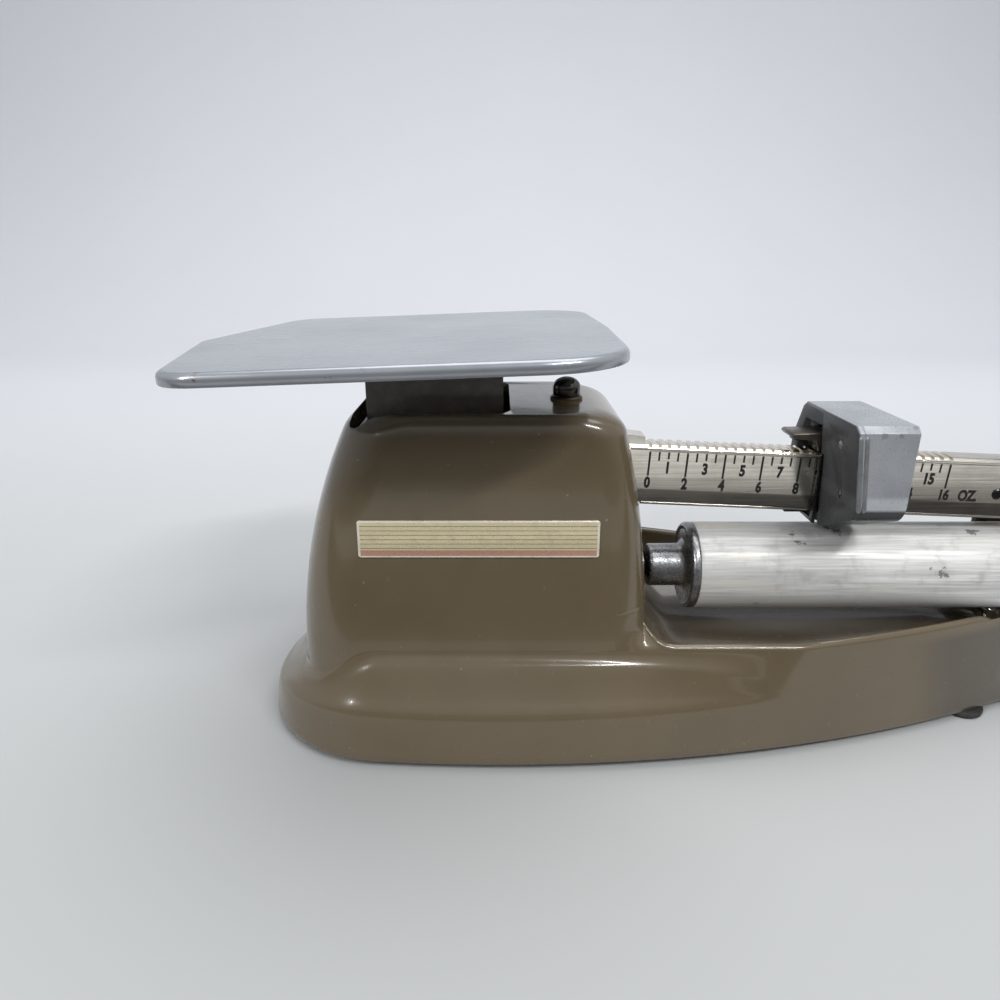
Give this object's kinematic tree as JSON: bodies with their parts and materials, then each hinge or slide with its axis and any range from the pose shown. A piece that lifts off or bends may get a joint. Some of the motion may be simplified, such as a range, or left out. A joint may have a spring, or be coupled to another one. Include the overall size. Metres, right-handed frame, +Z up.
{
  "type": "postal scale",
  "caption": "Beam-type postal scale: flat letter pan on a knife-edge linkage in a cast tower, notched beam with a sliding poise, and a turning rate drum in a boat-shaped base.",
  "frame": {"origin": "on the table, under the centre of the overall box, which is the middle of the scale's length and the plane of the beam", "axes": "+X along the beam away from the pan, +Y away from the reader, +Z up"},
  "size_m": [0.2354, 0.1088, 0.1086],
  "materials": {
    "enamel": "high-gloss taupe enamel on a casting",
    "steel_sheet": "plain sheet steel",
    "rubber": "matt black moulded rubber",
    "screw_steel": "turned steel screws",
    "plate_foil": "pale foil plate with a copper band",
    "zinc_casting": "grey die casting",
    "hard_steel": "ground hardened steel",
    "dark_brass": "darkened brass",
    "black_steel": "blackened steel",
    "dark_chrome": "tarnished bright plating",
    "nickel": "warm nickel plate with black graduations",
    "spring_brass": "spring brass leaf",
    "poise_casting": "grey painted die casting",
    "pawl_brown": "dark brown moulded finger piece",
    "bracket_dark": "dark painted steel",
    "pan_grey": "blue-grey painted sheet with worn edges",
    "bare_aluminium": "bare oxidised tube",
    "cap_casting": "grey cast aluminium"
  },
  "bodies": {
    "base": {"housing": "enamel", "bottom_plate": "steel_sheet", "rubber_feet": "rubber", "bottom_screws": "screw_steel", "nameplate": "plate_foil", "fulcrum_stand": "zinc_casting", "fulcrum_bearings": "hard_steel", "stand_screws": "screw_steel", "base_link_pin": "hard_steel", "adjuster_bush": "dark_brass", "left_pivot": "black_steel", "pivot_nut": "screw_steel", "right_pivot": "black_steel", "guide_post": "black_steel", "guide_screws": "screw_steel", "side_plug": "enamel"},
    "adjuster": {"adjusting_screw": "dark_chrome"},
    "beam": {"beam": "nickel", "lever": "steel_sheet", "fulcrum_knife": "hard_steel", "load_knife": "hard_steel", "beam_rivets": "nickel", "beam_tip": "black_steel", "tip_rivet": "black_steel", "zero_spring": "spring_brass"},
    "poise": {"poise_body": "poise_casting", "poise_cover": "poise_casting", "poise_screws": "screw_steel", "index_plate": "black_steel", "pawl_pin": "hard_steel"},
    "pawl": {"poise_pawl": "pawl_brown"},
    "platform": {"platform_bracket": "bracket_dark", "load_bearings": "hard_steel", "platform_pin": "hard_steel", "pan_rivets": "screw_steel", "pan": "pan_grey"},
    "link": {"check_link": "zinc_casting"},
    "drum": {"drum_tube": "bare_aluminium", "drum_cap_left": "cap_casting", "drum_cap_right": "cap_casting"}
  },
  "joints": [
    {"name": "beam_swing", "type": "hinge", "parent": "base", "child": "beam", "pos_m": [-0.04457, 0, 0.066], "axis": [0, -1, 0], "range_deg": [0, 5.08]},
    {"name": "platform_rise", "type": "slide", "parent": "base", "child": "platform", "axis": [0, 0, 1], "range_m": [-0.00107, 0]},
    {"name": "check_swing", "type": "hinge", "parent": "base", "child": "link", "pos_m": [-0.04457, 0, 0.024], "axis": [0, -1, 0], "range_deg": [0, 5.08]},
    {"name": "poise_slide", "type": "slide", "parent": "beam", "child": "poise", "axis": [0.999, 0, -0.0443], "range_m": [-0.04448, 0.03584]},
    {"name": "pawl_lift", "type": "hinge", "parent": "poise", "child": "pawl", "pos_m": [0.05175, 0, 0.08064], "axis": [0, 1, 0], "range_deg": [0, 8], "stiffness_Nm_per_rad": 0.02, "springref_deg": -11.46},
    {"name": "drum_turn", "type": "hinge", "parent": "base", "child": "drum", "pos_m": [0.05943, 0, 0.042], "axis": [1, 0, 0], "continuous": true},
    {"name": "adjuster_turn", "type": "hinge", "parent": "base", "child": "adjuster", "pos_m": [-0.02337, -0.003, 0.09], "axis": [0, 0, 1], "continuous": true}
  ],
  "couplings": [
    {"joint": "platform_rise", "follows": "beam_swing", "m_per_rad": -0.012},
    {"joint": "check_swing", "follows": "beam_swing", "ratio": 1}
  ]
}
